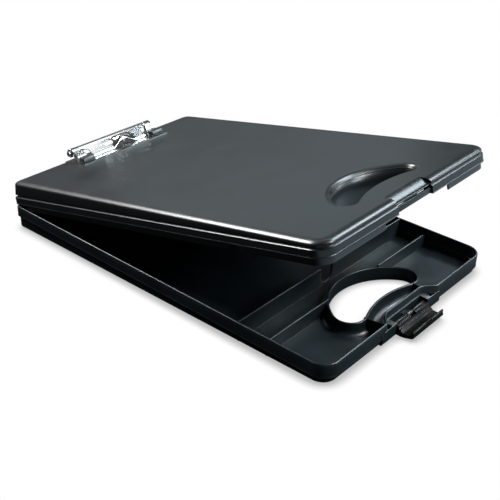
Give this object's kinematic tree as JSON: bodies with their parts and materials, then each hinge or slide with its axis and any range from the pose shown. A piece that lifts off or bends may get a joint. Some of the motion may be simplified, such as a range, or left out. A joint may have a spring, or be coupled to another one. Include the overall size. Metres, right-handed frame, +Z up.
{
  "type": "storage clipboard box",
  "caption": "Wedge-shaped storage clipboard: a hinged writing lid with a spring clip over a compartmented tray, with a hand hole and a fold-down front latch.",
  "frame": {"origin": "centre of the tray's flat underside", "axes": "+X across the width, +Y from the latch at the front to the hinge and clip at the rear, +Z up"},
  "size_m": [0.254, 0.4149, 0.1262],
  "materials": {
    "tray_plastic": "satin",
    "lid_plastic": "satin",
    "latch_plastic": "satin",
    "clip_metal": "polished",
    "steel_pin": "brushed",
    "tip_rubber": "satin"
  },
  "bodies": {
    "tray": {"tray": "tray_plastic", "hinge_pin_left": "steel_pin", "hinge_pin_right": "steel_pin", "latch_pin": "steel_pin"},
    "lid": {"lid": "lid_plastic", "clip_base": "clip_metal", "clip_rod": "steel_pin", "spring_left": "steel_pin", "spring_right": "steel_pin", "rivets": "steel_pin", "washers": "steel_pin"},
    "jaw": {"clip_jaw": "clip_metal", "tip_left": "tip_rubber", "tip_right": "tip_rubber"},
    "latch": {"latch": "latch_plastic"}
  },
  "joints": [
    {"name": "lid_hinge", "type": "hinge", "parent": "tray", "child": "lid", "pos_m": [0, 0.1993, 0.0245], "axis": [-1, 0, 0], "range_deg": [-13.7, 96.3]},
    {"name": "latch_hinge", "type": "hinge", "parent": "tray", "child": "latch", "pos_m": [0, -0.1915, 0.0085], "axis": [-1, 0, 0], "range_deg": [0, 90]},
    {"name": "jaw_hinge", "type": "hinge", "parent": "lid", "child": "jaw", "pos_m": [0, 0.19122, 0.05947], "axis": [-1, 0, 0], "range_deg": [0, 45], "stiffness_Nm_per_rad": 0.3, "springref_deg": -45.84}
  ]
}
